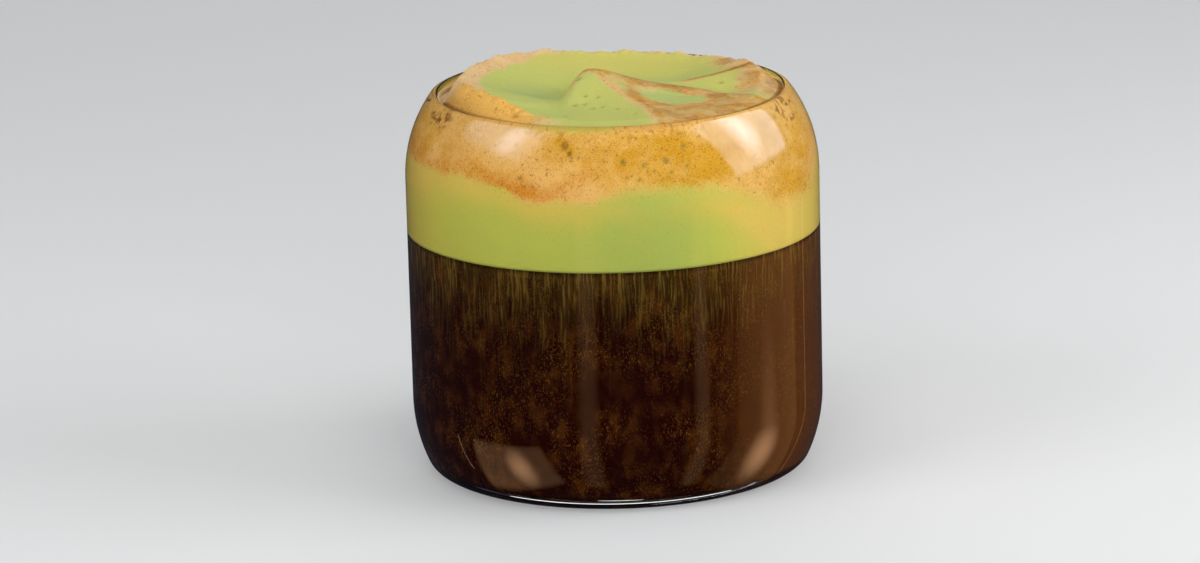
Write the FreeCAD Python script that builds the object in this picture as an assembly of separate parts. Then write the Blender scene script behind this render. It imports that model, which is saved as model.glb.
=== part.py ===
import FreeCAD, Part
import math
import os

# A short round-shouldered tumbler of clear glass, filled with coffee to LINE_Z and
# with a pale-green foam above it that stands a few millimetres over the rim.
# Millimetres, +Z up, origin in the middle of the flat underside.
# Three solids, one per material: glass (turned), coffee (turned), foam (turned below,
# a free surface on top).

V = FreeCAD.Vector

# ---- driving sizes -----------------------------------------------------------
WIDTH = 84.0            # widest, across the straight wall
HEIGHT = 77.6           # underside to top of the glass rim
WALL = 2.0              # wall, measured square to the surface
BASE = 2.6              # floor of the glass
HEEL_R = 3.5            # small round where the wall leaves the flat underside
HEEL_TURN = 66.0        # degrees the heel turns before the larger arc takes over
LOWER_R = 31.0          # larger arc from the heel up to the straight wall
SHOULDER_R = 28.1       # outside arc of the shoulder
SHOULDER_DROP = 17.1    # how far below the rim the wall begins to lean in
LINE_Z = 49.4           # level line between coffee and foam

# the foam head, heights counted from the plane of the rim
CREST_R = 30.4          # radius of the raised edge round the head
CREST_BACK = 1.1        # its height at the back, where it is lowest
CREST_LEFT = 2.05       # what the long left wave adds
CREST_NOSE = 0.8        # what its front end adds again
CREST_RIGHT = 1.8       # what the right lump adds
RIPPLE = 0.12           # torn edge of the crest, up and down
RIPPLE_BAND = 2.2       # and how far in from the edge that reaches
BACK_GAP = 2.9          # how far below the rim the foam meets the glass round the back
FRONT_GAP = 0.35        # the same round the front half
DISH_FLOOR = -2.5       # middle of the hollow
DISH_TILT = 0.04        # the hollow is deeper on the left
DISH_SLOPE = 0.27       # climb from the hollow to the crest
FOLD_Y = -8.6           # where the front shelf drops into the hollow
FOLD_SLOPE = 0.62
PEAK = (-4.3, -1.0, 4.4)                    # tip of the pulled-up peak
PEAK_SLOPES = (0.30, 0.50, 1.30, 0.47)      # left, right, back, front
PEAK_ROUND = 3.0        # how blunt it is
CLIFF = 0.27            # how fast the left side of the peak steepens
CLIFF_LEAN = 0.30       # and how that side swings left towards the front
BLEND = 0.55            # size of the soft valleys where two folds meet
CELLS = 72              # surface stations each way

# crest lines of the folds: x, y, height above the rim plane
LONG_FOLD = [(-3.0, -1.0, 3.9), (2.0, -1.2, 2.7), (6.0, -1.1, 1.9), (14.0, -3.0, 1.1),
             (18.0, -4.1, 0.6), (24.0, -8.7, 0.1), (31.0, -13.0, -0.2)]
FRONT_FOLD = [(-3.0, -2.0, 3.8), (0.4, -8.3, 2.7), (3.6, -14.6, 1.6), (7.1, -21.3, 0.6),
              (9.0, -31.0, -0.2)]
RIGHT_FOLD = [(28.5, 8.0, 2.6), (23.0, 6.2, 1.7), (18.0, 5.2, 0.9), (12.0, 6.0, -0.2)]
FOLD_ROUND = 1.2        # how blunt the folds are along their crest
FOLD_STEPS = 8          # pieces to each stretch of a crest line

# ---- sizes that follow -------------------------------------------------------
R_OUT = WIDTH / 2
SHOULDER_Z = HEIGHT - SHOULDER_DROP
BEAD_R = WALL / 2                                   # fire-rounded rim
SHOULDER_CX = R_OUT - SHOULDER_R
BEAD_ARM = SHOULDER_R - BEAD_R
BEAD_TURN = math.asin((HEIGHT - BEAD_R - SHOULDER_Z) / BEAD_ARM)
BEAD_X = SHOULDER_CX + BEAD_ARM * math.cos(BEAD_TURN)
BEAD_Z = HEIGHT - BEAD_R
MOUTH_R = BEAD_X - BEAD_R                           # narrowest radius of the mouth


def arc_point(cx, cz, radius, degrees):
    """A point of the turning section, on a circle about (cx, cz)."""
    a = math.radians(degrees)
    return V(cx + radius * math.cos(a), 0, cz + radius * math.sin(a))


def arc(cx, cz, radius, start, end):
    """An arc of the section from one angle to another, through its middle."""
    return Part.Arc(arc_point(cx, cz, radius, start), arc_point(cx, cz, radius, (start + end) / 2),
                    arc_point(cx, cz, radius, end)).toShape()


def line(a, b):
    return Part.makeLine(a, b)


def turned(edges):
    """Closed section edges, turned once about the Z axis."""
    face = Part.Face(Part.Wire(Part.__sortEdges__(edges)))
    solid = face.revolve(V(0, 0, 0), V(0, 0, 1), 360)
    if solid.Volume < 0:
        solid.reverse()
    return solid


def wall_section(inset, floor):
    """Centres and radii of the two lower arcs of a wall that lies `inset` inside the outside.

    The larger arc ends level with its own centre, so the wall above it is upright; the heel
    arc is tangent to it at HEEL_TURN and to the level floor.
    """
    turn = math.radians(HEEL_TURN)
    big_cx = R_OUT - LOWER_R
    apart = LOWER_R - HEEL_R
    heel_cx = big_cx + apart * math.sin(turn)
    heel_cz = HEEL_R
    big_cz = heel_cz + apart * math.cos(turn)
    lift = floor - inset
    return (big_cx, big_cz + lift, LOWER_R - inset), (heel_cx, heel_cz + lift, HEEL_R - inset)


def lower_edges(inset, floor):
    """Floor, heel, larger arc: from the axis out to the foot of the upright wall."""
    (bx, bz, br), (hx, hz, hr) = wall_section(inset, floor)
    heel = arc(hx, hz, hr, -90, -90 + HEEL_TURN)
    big = arc(bx, bz, br, -90 + HEEL_TURN, 0)
    return [line(V(0, 0, floor), V(hx, 0, floor)), heel, big], V(bx + br, 0, bz)


# ---- glass -------------------------------------------------------------------
turn_deg = math.degrees(BEAD_TURN)
outside, out_foot = lower_edges(0.0, 0.0)
inside, in_foot = lower_edges(WALL, BASE)
R_IN = R_OUT - WALL

glass = turned(outside + [
    line(out_foot, V(R_OUT, 0, SHOULDER_Z)),
    arc(SHOULDER_CX, SHOULDER_Z, SHOULDER_R, 0, turn_deg),
    arc(BEAD_X, BEAD_Z, BEAD_R, turn_deg, turn_deg + 180),
    arc(SHOULDER_CX, SHOULDER_Z, SHOULDER_R - WALL, turn_deg, 0),
    line(V(R_IN, 0, SHOULDER_Z), in_foot),
] + inside + [line(V(0, 0, BASE), V(0, 0, 0))])

# ---- coffee ------------------------------------------------------------------
coffee = turned(inside + [
    line(in_foot, V(R_IN, 0, LINE_Z)),
    line(V(R_IN, 0, LINE_Z), V(0, 0, LINE_Z)),
    line(V(0, 0, LINE_Z), V(0, 0, BASE)),
])


# ---- foam --------------------------------------------------------------------
def ease(value, low, high):
    """0 below low, 1 above high, a smooth S between; works downward as well."""
    t = (value - low) / (high - low)
    t = min(max(t, 0.0), 1.0)
    return t * t * (3 - 2 * t)


def soft_max(values, size):
    """The highest of several surfaces, with a soft valley where they meet."""
    top = max(values)
    total = sum(math.exp((v - top) / size) for v in values)
    return top + size * math.log(total)


def smooth_line(stations, steps):
    """More stations on a smooth curve through the given ones (each stretch a cubic)."""
    ends = [stations[0]] + stations + [stations[-1]]
    out = []
    for a, b, c, d in zip(ends, ends[1:], ends[2:], ends[3:]):
        for k in range(steps):
            t = k / steps
            out.append(tuple(0.5 * (2 * q + (r - p) * t + (2 * p - 5 * q + 4 * r - s) * t ** 2
                                    + (3 * q - p - 3 * r + s) * t ** 3)
                             for p, q, r, s in zip(a, b, c, d)))
    return out + [stations[-1]]


def fold(x, y, stations, flank):
    """A rounded ridge along a crest line: height at the nearest place less flank x distance."""
    best = -1e9
    for (ax, ay, ah), (bx, by, bh) in zip(stations, stations[1:]):
        dx, dy = bx - ax, by - ay
        t = ((x - ax) * dx + (y - ay) * dy) / (dx * dx + dy * dy)
        t = min(max(t, 0.0), 1.0)
        away = math.hypot(x - ax - t * dx, y - ay - t * dy)
        drop = flank * (math.hypot(away, FOLD_ROUND) - FOLD_ROUND)
        best = max(best, ah + t * (bh - ah) - drop)
    return best


def raised(turn):
    """1 where the head has a raised edge, 0 along the front, where it lies level with the rim."""
    return ease(turn, 262, 236) * ease(turn, -40, 0)


def crest(turn):
    """Height of the raised edge at a direction in degrees, 0 = right, 90 = back."""
    left = ease(turn, 86, 122) * ease(turn, 240, 223)
    nose = math.exp(-((turn - 205) / 17.0) ** 2)
    right = ease(turn, 60, 20) * ease(turn, -12, 10)
    return raised(turn) * (CREST_BACK + CREST_LEFT * left + CREST_NOSE * nose + CREST_RIGHT * right)


def torn(turn, r):
    """The uneven edge of the crest: two waves round the head that die away inwards."""
    wave = math.sin(math.radians(19 * turn)) + 0.7 * math.sin(math.radians(31 * turn + 40))
    return raised(turn) * RIPPLE * wave * math.exp(-((r - CREST_R) / RIPPLE_BAND) ** 2)


def gap(turn):
    """How far below the rim the foam meets the glass: closed up round the front half."""
    open_back = ease(turn, 198, 176) * ease(turn, 0, 60)
    return FRONT_GAP + (BACK_GAP - FRONT_GAP) * open_back


def peak(x, y):
    """The pulled-up peak: a rounded tip with a different slope to each side."""
    px, py, top = PEAK
    left, right, behind, front = PEAK_SLOPES
    dx, dy = x - px, y - py
    sx = left + (right - left) * ease(dx, -1.5, 1.5)
    sy = front + (behind - front) * ease(dy, -1.5, 1.5)
    away = math.hypot(sx * dx, sy * dy)
    return top + PEAK_ROUND - math.hypot(away, PEAK_ROUND)


def cliff(x, y):
    """What the peak and its two folds lose to the left of a line from the tip: a parabola."""
    px, py, _ = PEAK
    beyond = max(px + CLIFF_LEAN * min(y - py, 0.0) - x, 0.0)
    return CLIFF * beyond ** 2


LONG_LINE = smooth_line(LONG_FOLD, FOLD_STEPS)
FRONT_LINE = smooth_line(FRONT_FOLD, FOLD_STEPS)
RIGHT_LINE = smooth_line(RIGHT_FOLD, FOLD_STEPS)


def head(x, y):
    """Height of the foam above the rim plane: the highest of the folds, let down at the glass."""
    r = math.hypot(x, y)
    turn = math.degrees(math.atan2(y, x))
    if turn < -90:
        turn += 360
    edge = crest(turn)
    bowl = edge - DISH_SLOPE * max(CREST_R - r, 0.0)
    floor = DISH_FLOOR + DISH_TILT * x
    shelf = -FOLD_SLOPE * max(y - FOLD_Y, 0.0)
    lost = cliff(x, y)
    over = soft_max([
        bowl, floor, shelf, peak(x, y) - lost,
        fold(x, y, LONG_LINE, 0.42) - lost,
        fold(x, y, FRONT_LINE, 0.30) - lost,
        fold(x, y, RIGHT_LINE, 0.42),
    ], BLEND) - BLEND * 0.6
    over += torn(turn, r)
    fall = ease(r, CREST_R - 0.5, MOUTH_R + 0.2)
    return over * (1 - fall) - gap(turn) * fall


def head_surface():
    """A smooth sheet through the head heights at evenly spaced stations over the mouth."""
    half = R_OUT
    rows = []
    for i in range(CELLS + 1):
        x = -half + 2 * half * i / CELLS
        row = []
        for j in range(CELLS + 1):
            y = -half + 2 * half * j / CELLS
            row.append(V(x, y, HEIGHT + head(x, y)))
        rows.append(row)
    sheet = Part.BSplineSurface()
    sheet.interpolate(rows)
    return sheet.toShape()


TOP = HEIGHT + 12.0
TUCK = 106.0            # how far round the bead the foam can lap, in degrees
lap = arc_point(BEAD_X, BEAD_Z, BEAD_R, TUCK)
envelope = turned([
    line(V(0, 0, LINE_Z), V(R_IN, 0, LINE_Z)),
    line(V(R_IN, 0, LINE_Z), V(R_IN, 0, SHOULDER_Z)),
    arc(SHOULDER_CX, SHOULDER_Z, SHOULDER_R - WALL, 0, turn_deg),
    arc(BEAD_X, BEAD_Z, BEAD_R, turn_deg + 180, TUCK),
    line(lap, V(lap.x, 0, TOP)),
    line(V(lap.x, 0, TOP), V(0, 0, TOP)),
    line(V(0, 0, TOP), V(0, 0, LINE_Z)),
])
below = head_surface().extrude(V(0, 0, -(HEIGHT - LINE_Z + 12.0)))
foam = envelope.common(below)

# ---- out ---------------------------------------------------------------------
os.makedirs("parts", exist_ok=True)
for name, shape in (("glass", glass), ("coffee", coffee), ("foam", foam)):
    solids = shape.Solids
    if len(solids) != 1 or not shape.isValid():
        raise RuntimeError(name + ": expected one sound solid, got %d" % len(solids))
    solid = solids[0]
    solid.exportStep("parts/" + name + ".step")
    box = solid.BoundBox
    print("%-7s %9.1f mm3  x %.2f..%.2f  y %.2f..%.2f  z %.2f..%.2f  faces %d" % (
        name, solid.Volume, box.XMin, box.XMax, box.YMin, box.YMax, box.ZMin, box.ZMax,
        len(solid.Faces)))
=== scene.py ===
# %% [markdown]
# # Coconut coffee in a round-shouldered glass
# A short glass holds dark coffee. Above a level line floats a deep coconut foam, pale
# yellow-green where it is clean and tan to orange-brown where coffee has bled into it, and it
# stands a few millimetres over the rim. The CAD model gives every size. It is loaded first and
# never changed; the pieces made here take its place and keep inside its box.

# %% Load the fixed frame
import math
import bpy
import numpy as np
from mathutils import Matrix, Vector


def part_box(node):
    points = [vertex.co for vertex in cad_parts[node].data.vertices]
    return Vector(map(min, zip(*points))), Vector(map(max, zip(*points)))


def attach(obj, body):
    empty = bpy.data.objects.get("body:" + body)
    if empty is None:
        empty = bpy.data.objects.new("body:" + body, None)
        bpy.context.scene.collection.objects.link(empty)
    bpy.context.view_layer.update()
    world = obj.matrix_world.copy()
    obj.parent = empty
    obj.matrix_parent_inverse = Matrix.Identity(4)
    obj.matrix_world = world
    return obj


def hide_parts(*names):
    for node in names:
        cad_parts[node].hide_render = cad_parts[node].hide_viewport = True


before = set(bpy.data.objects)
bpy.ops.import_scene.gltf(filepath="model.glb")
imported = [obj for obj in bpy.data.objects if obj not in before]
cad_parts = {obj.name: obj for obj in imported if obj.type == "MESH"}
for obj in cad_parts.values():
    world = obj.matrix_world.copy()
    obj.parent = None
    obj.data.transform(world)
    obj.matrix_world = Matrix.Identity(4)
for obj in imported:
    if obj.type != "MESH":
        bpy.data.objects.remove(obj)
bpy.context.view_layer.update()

# %% [markdown]
# ## Sizes
# The glass was turned, so a handful of radii describe it. They are written in millimetres, as a
# maker would, and divided by a thousand when a mesh is made. The heights and the outside radius
# are read from the CAD nodes, so the looks can't drift away from the model.

# %% Sizes of the glass, in millimetres
MM = 0.001
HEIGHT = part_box("glass")[1].z / MM
LINE_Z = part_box("coffee")[1].z / MM
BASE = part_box("coffee")[0].z / MM
FOAM_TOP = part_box("foam")[1].z / MM
glass_low, glass_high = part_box("glass")
R_OUT = min(-glass_low.x, -glass_low.y, glass_high.x, glass_high.y) / MM
WALL = 2.0         # thickness of the glass
HEEL_R = 3.5       # small arc where the underside turns up
HEEL_TURN = 66.0   # how far the heel turns, in degrees
LOWER_R = 31.0     # large arc from the heel to the upright wall
SHOULDER_R = 28.1  # arc by which the shoulder leans in
SHOULDER_Z = 60.5  # height at which it begins
BEAD_R = WALL / 2  # round edge of the mouth
SHOULDER_CX = R_OUT - SHOULDER_R
BEAD_ARM = SHOULDER_R - BEAD_R
BEAD_TURN = math.degrees(math.asin((HEIGHT - BEAD_R - SHOULDER_Z) / BEAD_ARM))
BEAD_X = SHOULDER_CX + BEAD_ARM * math.cos(math.radians(BEAD_TURN))
BEAD_Z = HEIGHT - BEAD_R
MOUTH_R = BEAD_X - BEAD_R
print(f"outside radius {R_OUT:.2f} mm, height {HEIGHT:.2f}, line {LINE_Z:.2f}, "
      f"mouth radius {MOUTH_R:.2f}")

# %% [markdown]
# ## Turning a section
# Glass and coffee are solids of revolution. A section is a run of (radius, height) points; the
# mesh is that run repeated round the axis on a grid of two parameters, how far along the section
# and how far round. The two ends lie on the axis, where one shared point closes the skin.

# %% Grid skin and turned solid
def arc(cx, cz, radius, start, end, count):
    """Points on a circle about (cx, cz) from one angle to another, in degrees."""
    a = np.radians(np.linspace(start, end, count))
    return np.stack([cx + radius * np.cos(a), cz + radius * np.sin(a)], axis=1)


def run_of(radius, height):
    """(radius, height) points of a straight run; one of the two may be a single number."""
    return np.stack(np.broadcast_arrays(radius, height), axis=1)


def skin(name, grid, bottom, top):
    """Closed mesh from grid[row, round, xyz] in mm, with a point at each end: quads join each
    point to its neighbour along the row and to the next row; triangles fan to the two ends."""
    rows, turns, _ = grid.shape
    points = np.concatenate([grid.reshape(-1, 3), [bottom], [top]]) * MM
    index = np.arange(rows * turns).reshape(rows, turns)
    side = np.roll(index, -1, axis=1)
    quads = np.stack([index[:-1], side[:-1], side[1:], index[1:]], axis=-1).reshape(-1, 4)
    low = np.stack([np.full(turns, rows * turns), side[0], index[0]], axis=-1)
    high = np.stack([np.full(turns, rows * turns + 1), index[-1], side[-1]], axis=-1)
    loops = np.concatenate([quads.ravel(), low.ravel(), high.ravel()])
    sizes = np.concatenate([np.full(len(quads), 4), np.full(2 * turns, 3)])
    starts = np.concatenate([[0], np.cumsum(sizes)[:-1]])
    mesh = bpy.data.meshes.new(name)
    mesh.vertices.add(len(points))
    mesh.vertices.foreach_set("co", points.astype(np.float32).ravel())
    mesh.loops.add(len(loops))
    mesh.loops.foreach_set("vertex_index", loops.astype(np.int32))
    mesh.polygons.add(len(sizes))
    mesh.polygons.foreach_set("loop_start", starts.astype(np.int32))
    mesh.polygons.foreach_set("use_smooth", np.ones(len(sizes), dtype=bool))
    mesh.update(calc_edges=True)
    mesh.validate()
    piece = bpy.data.objects.new(name, mesh)
    bpy.context.scene.collection.objects.link(piece)
    return piece


GLASS_TURNS = 288


def turned(name, section):
    """A section of (radius, height) points, ends on the axis, carried once round the axis:
    x = radius cos a, y = radius sin a."""
    inner = section[1:-1]
    a = np.linspace(0, 2 * np.pi, GLASS_TURNS, endpoint=False)
    grid = np.stack([
        inner[:, :1] * np.cos(a),
        inner[:, :1] * np.sin(a),
        np.repeat(inner[:, 1:], GLASS_TURNS, axis=1),
    ], axis=-1)
    piece = skin(name, grid, [0, 0, section[0][1]], [0, 0, section[-1][1]])
    print(name, "has", len(piece.data.polygons), "faces")
    return piece


# %% [markdown]
# ## The glass
# Blown glass has a wall of even thickness. From the flat underside a small heel turns up into a
# larger arc, the wall stands upright, and the shoulder leans in to a mouth whose edge the flame
# has melted to a round bead. Each arc is tangent to the next, so reflections run on unbroken.

# %% Lower part of the section, outside or inside
FLAT_STEPS, HEEL_POINTS, LARGE_POINTS = 9, 12, 26


def lower(inset, floor_z):
    """Floor, heel and large arc of a wall that lies `inset` inside the outside of the glass. The
    two arcs share a tangent: their centres lie a difference of radii apart, at the heel's turn."""
    turn = math.radians(HEEL_TURN)
    between = LOWER_R - HEEL_R
    large_cx = R_OUT - LOWER_R
    heel_cx = large_cx + between * math.sin(turn)
    heel_cz = HEEL_R + (floor_z - inset)
    large_cz = heel_cz + between * math.cos(turn)
    flat = run_of(np.linspace(0, heel_cx, FLAT_STEPS + 1)[:-1], floor_z)
    heel = arc(heel_cx, heel_cz, HEEL_R - inset, -90, -90 + HEEL_TURN, HEEL_POINTS)
    large = arc(large_cx, large_cz, LOWER_R - inset, -90 + HEEL_TURN, 0, LARGE_POINTS)
    return np.concatenate([flat, heel, large[1:]])


outside = lower(0.0, 0.0)
inside = lower(WALL, BASE)
print("inside floor at", round(inside[0, 1], 2), "mm, lower arc ends at", round(inside[-1, 1], 2))

# %% Whole section of the glass
UPRIGHT_STEPS, SHOULDER_POINTS, BEAD_POINTS = 9, 24, 18
upright = np.linspace(outside[-1, 1], SHOULDER_Z, UPRIGHT_STEPS + 1)[1:-1]
glass = turned("glass_tumbler", np.concatenate([
    outside,
    run_of(R_OUT, upright),
    arc(SHOULDER_CX, SHOULDER_Z, SHOULDER_R, 0, BEAD_TURN, SHOULDER_POINTS),
    arc(BEAD_X, BEAD_Z, BEAD_R, BEAD_TURN, BEAD_TURN + 180, BEAD_POINTS)[1:],
    arc(SHOULDER_CX, SHOULDER_Z, SHOULDER_R - WALL, BEAD_TURN, 0, SHOULDER_POINTS)[1:],
    run_of(R_OUT - WALL, upright[::-1]),
    inside[::-1],
]))

# %% [markdown]
# ## The coffee
# Behind clear glass a drink must touch the wall, or a bright gap of air shows. So the coffee
# reaches a sixth of a millimetre into the glass all round and under its base.

# %% Coffee up to the line
REACH = 0.16
DRINK_R = R_OUT - WALL + REACH
SIDE_STEPS, TOP_STEPS = 20, 8
fill = lower(WALL - REACH, BASE - REACH)
coffee = turned("coffee", np.concatenate([
    fill,
    run_of(DRINK_R, np.linspace(fill[-1, 1], LINE_Z, SIDE_STEPS + 1)[1:]),
    run_of(np.linspace(DRINK_R, 0, TOP_STEPS + 1)[1:], LINE_Z),
]))

# %% [markdown]
# ## The foam head
# The top of the foam is one height over every (x, y): the highest of several simple forms, with
# soft valleys where they meet. There is a bowl that climbs to a raised edge, a level shelf along
# the front, a pulled-up peak, and three long folds. At the glass the foam is let down below the
# rim, except along the front, where it lies level with it. The same forms shape the CAD solid.

# %% Lines of the folds: x, y and millimetres above the rim plane
CREST_R = 30.4  # radius of the raised edge
LONG_FOLD = [(-3.0, -1.0, 3.9), (2.0, -1.2, 2.7), (6.0, -1.1, 1.9), (14.0, -3.0, 1.1),
             (18.0, -4.1, 0.6), (24.0, -8.7, 0.1), (31.0, -13.0, -0.2)]
FRONT_FOLD = [(-3.0, -2.0, 3.8), (0.4, -8.3, 2.7), (3.6, -14.6, 1.6), (7.1, -21.3, 0.6),
              (9.0, -31.0, -0.2)]
RIGHT_FOLD = [(28.5, 8.0, 2.6), (23.0, 6.2, 1.7), (18.0, 5.2, 0.9), (12.0, 6.0, -0.2)]


def ease(value, low, high):
    """0 below low, 1 above high and the S curve 3 t^2 - 2 t^3 between; works downward as well."""
    t = np.clip((value - low) / (high - low), 0.0, 1.0)
    return t * t * (3 - 2 * t)


def hill(value, middle, width):
    """A bell: 1 at the middle, and e to the minus square of the distance over `width` beside it."""
    return np.exp(-((value - middle) / width) ** 2)


STRETCH_STEPS = 8


def smooth_line(stations):
    """Stations on a smooth curve through the given ones: each stretch is a cubic whose slope at
    a station is half the step from the one before to the one after."""
    p = np.array([stations[0], *stations, stations[-1]], dtype=float)
    t = (np.arange(STRETCH_STEPS) / STRETCH_STEPS)[None, :, None]
    a, b, c, d = (p[k:len(p) - 3 + k][:, None, :] for k in range(4))
    curve = 0.5 * (2 * b + (c - a) * t + (2 * a - 5 * b + 4 * c - d) * t ** 2
                   + (3 * b - a - 3 * c + d) * t ** 3)
    return np.concatenate([curve.reshape(-1, 3), p[-1:]])


def near_line(x, y, line):
    """Distance from each (x, y) to a crest line, and the line's height at its nearest place. On
    each straight stretch that is the foot of the perpendicular, kept between its two ends."""
    best = np.full(x.shape, np.inf)
    height = np.zeros(x.shape)
    for a, b in zip(line[:-1], line[1:]):
        step = b - a
        t = ((x - a[0]) * step[0] + (y - a[1]) * step[1]) / (step[0] ** 2 + step[1] ** 2)
        t = np.clip(t, 0, 1)
        away = np.hypot(x - a[0] - t * step[0], y - a[1] - t * step[1])
        nearer = away < best
        best = np.where(nearer, away, best)
        height = np.where(nearer, a[2] + t * step[2], height)
    return best, height


LONG_LINE, FRONT_LINE, RIGHT_LINE = (smooth_line(s) for s in (LONG_FOLD, FRONT_FOLD, RIGHT_FOLD))
# brow of the peak, from its left foot over the tip
CAP_LINE = smooth_line([(-9.0, -6.5, 0), (-8.0, -3.8, 0), (-6.2, -2.2, 0), (-3.6, -1.6, 0),
                        (0.0, -1.6, 0)])
print("crest lines have", len(LONG_LINE), len(FRONT_LINE), len(RIGHT_LINE), "stations")

# %% Raised edge and gap
def bearing(x, y):
    """Direction from the axis in degrees, -90 to 270: 0 right, 90 back, 180 left, 270 front."""
    turn = np.degrees(np.arctan2(y, x))
    return np.where(turn < -90, turn + 360, turn)


def raised(turn):
    """1 where the head has a raised edge, 0 along the front."""
    return ease(turn, 262, 236) * ease(turn, -40, 0)


def crest(turn):
    """Height of the raised edge: a long wave on the left, higher at its front end, and a lump
    on the right."""
    left = ease(turn, 86, 122) * ease(turn, 240, 223)
    right = ease(turn, 60, 20) * ease(turn, -12, 10)
    return raised(turn) * (1.1 + 2.05 * left + 0.8 * hill(turn, 205, 17) + 1.8 * right)


def gap(turn):
    """How far below the rim the foam meets the glass: most at the back, least at the front."""
    return 0.35 + 2.55 * ease(turn, 198, 176) * ease(turn, 0, 60)


edge_heights = crest(np.array([0.0, 90.0, 180.0]))
print("raised edge at the right, back and left, mm:", edge_heights.round(2))

# %% Peak, cliff and folds
TIP_X, TIP_Y, TIP_HEIGHT, TIP_ROUND = -4.3, -1.0, 4.4, 3.0
LEFT_SLOPE, RIGHT_SLOPE, FRONT_SLOPE, BACK_SLOPE = 0.30, 0.50, 0.47, 1.30
CLIFF_LEAN, CLIFF_DROP = 0.30, 0.27
FOLD_ROUND = 1.2


def peak(x, y):
    """A blunt tip with a slope of its own to each side: height less the rounded distance."""
    dx, dy = x - TIP_X, y - TIP_Y
    slope_x = LEFT_SLOPE + (RIGHT_SLOPE - LEFT_SLOPE) * ease(dx, -1.5, 1.5)
    slope_y = FRONT_SLOPE + (BACK_SLOPE - FRONT_SLOPE) * ease(dy, -1.5, 1.5)
    return TIP_HEIGHT + TIP_ROUND - np.hypot(np.hypot(slope_x * dx, slope_y * dy), TIP_ROUND)


def cliff(x, y):
    """What the peak and its two folds lose to the left of a line from the tip: a parabola."""
    beyond = np.maximum(TIP_X + CLIFF_LEAN * np.minimum(y - TIP_Y, 0) - x, 0)
    return CLIFF_DROP * beyond ** 2


def fold(x, y, line, flank):
    """A rounded ridge: the crest line's height less flank times the distance from it."""
    away, height = near_line(x, y, line)
    return height - flank * (np.hypot(away, FOLD_ROUND) - FOLD_ROUND)


# %% The head from all its forms
VALLEY = 0.55  # how softly two forms meet, mm


def head(x, y):
    """Height of the foam over the rim plane: a soft highest-of, which is the valley size times
    the logarithm of the sum of e to each form over the valley size, less 0.6 valley sizes. The
    forms are the bowl's wall and floor, the level front shelf, the peak and the three folds."""
    r, turn = np.hypot(x, y), bearing(x, y)
    forms = np.stack([
        crest(turn) - 0.27 * np.maximum(CREST_R - r, 0),
        -2.5 + 0.04 * x,
        -0.62 * np.maximum(y + 8.6, 0),
        peak(x, y) - cliff(x, y),
        fold(x, y, LONG_LINE, 0.42) - cliff(x, y),
        fold(x, y, FRONT_LINE, 0.30) - cliff(x, y),
        fold(x, y, RIGHT_LINE, 0.42),
    ])
    top = forms.max(axis=0)
    over = top + VALLEY * (np.log(np.exp((forms - top) / VALLEY).sum(axis=0)) - 0.6)
    # the raised edge waves in height round the rim
    wave = np.sin(np.radians(19 * turn)) + 0.7 * np.sin(np.radians(31 * turn + 40))
    over = over + raised(turn) * 0.12 * wave * hill(r, CREST_R, 2.2)
    fall = ease(r, CREST_R - 0.5, MOUTH_R + 0.2)
    return over * (1 - fall) - gap(turn) * fall


tip = head(np.array([TIP_X]), np.array([TIP_Y]))
print("tip of the peak", round(float(tip[0]), 2), "mm over the rim")

# %% [markdown]
# ## Small relief
# Foam is never smooth. Its edge is torn where bubbles have burst, there are shallow swells all
# over, and a few larger pores. A lattice of random numbers, eased between its points, gives the
# irregular part; it is seeded, so every run makes the same foam.

# %% Lattice noise and relief
CELLS = 64
SHIFT = 17.3  # in cells; keeps the axis of the glass off the lattice's own planes
LATTICE = np.random.default_rng(41).random((CELLS, CELLS, CELLS)) * 2 - 1


def lattice_noise(x, y, z, size):
    """Random values from -1 to 1 at lattice points `size` apart. Between them, the eight corners
    of a cell are blended with the weights 3 w^2 - 2 w^3 each way."""
    p = np.stack([x, y, z]) / size + SHIFT
    cell = np.floor(p).astype(int)
    w = p - cell
    w = w * w * (3 - 2 * w)
    total = 0.0
    for i in (0, 1):
        for j in (0, 1):
            for k in (0, 1):
                weight = (w[0] if i else 1 - w[0]) * (w[1] if j else 1 - w[1])
                weight = weight * (w[2] if k else 1 - w[2])
                at = ((cell[0] + i) % CELLS, (cell[1] + j) % CELLS, (cell[2] + k) % CELLS)
                total = total + weight * LATTICE[at]
    return total


# x, y of the larger open pores, their radius and how deep they are, mm
PORES = [(-3.8, -18.2, 0.5, 0.4), (-7.1, -15.5, 0.6, 0.3), (-5.2, -15.3, 0.5, 0.3),
         (-1.8, -17.6, 0.45, 0.3), (-2.6, -13.0, 0.45, 0.3), (-5.0, -12.2, 0.4, 0.3),
         (-6.4, -5.6, 0.7, 0.35), (-19.0, -26.0, 0.8, 0.4), (1.2, -19.5, 0.45, 0.3),
         (4.6, -24.0, 0.4, 0.3), (22.5, 1.4, 0.5, 0.3), (-9.0, -24.0, 0.4, 0.25)]


def relief(x, y):
    """Millimetres to be added to the head: lattice noise along the torn crest, slow swells all
    over, two stretches of the crest that stand proud, and a bell taken away at each pore."""
    r, turn = np.hypot(x, y), bearing(x, y)
    inside_rim = ease(r, 33.6, 32.6)
    torn = 0.22 * lattice_noise(x, y, 0 * x, 1.6) + 0.34 * lattice_noise(x, y, 0 * x + 9, 0.75)
    torn = torn * raised(turn) * hill(r, CREST_R, 1.3)
    swell = 0.12 * lattice_noise(x, y, 0 * x + 3, 4.5) + 0.04 * lattice_noise(x, y, 0 * x + 5, 1.8)
    proud = 0.75 * hill(turn, 67, 30) + 0.4 * hill(turn, 142, 18)
    out = torn + swell * inside_rim + proud * hill(r, CREST_R, 1.8)
    for px, py, radius, depth in PORES:
        out = out - depth * np.exp(-((x - px) ** 2 + (y - py) ** 2) / radius ** 2)
    return out


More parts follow.
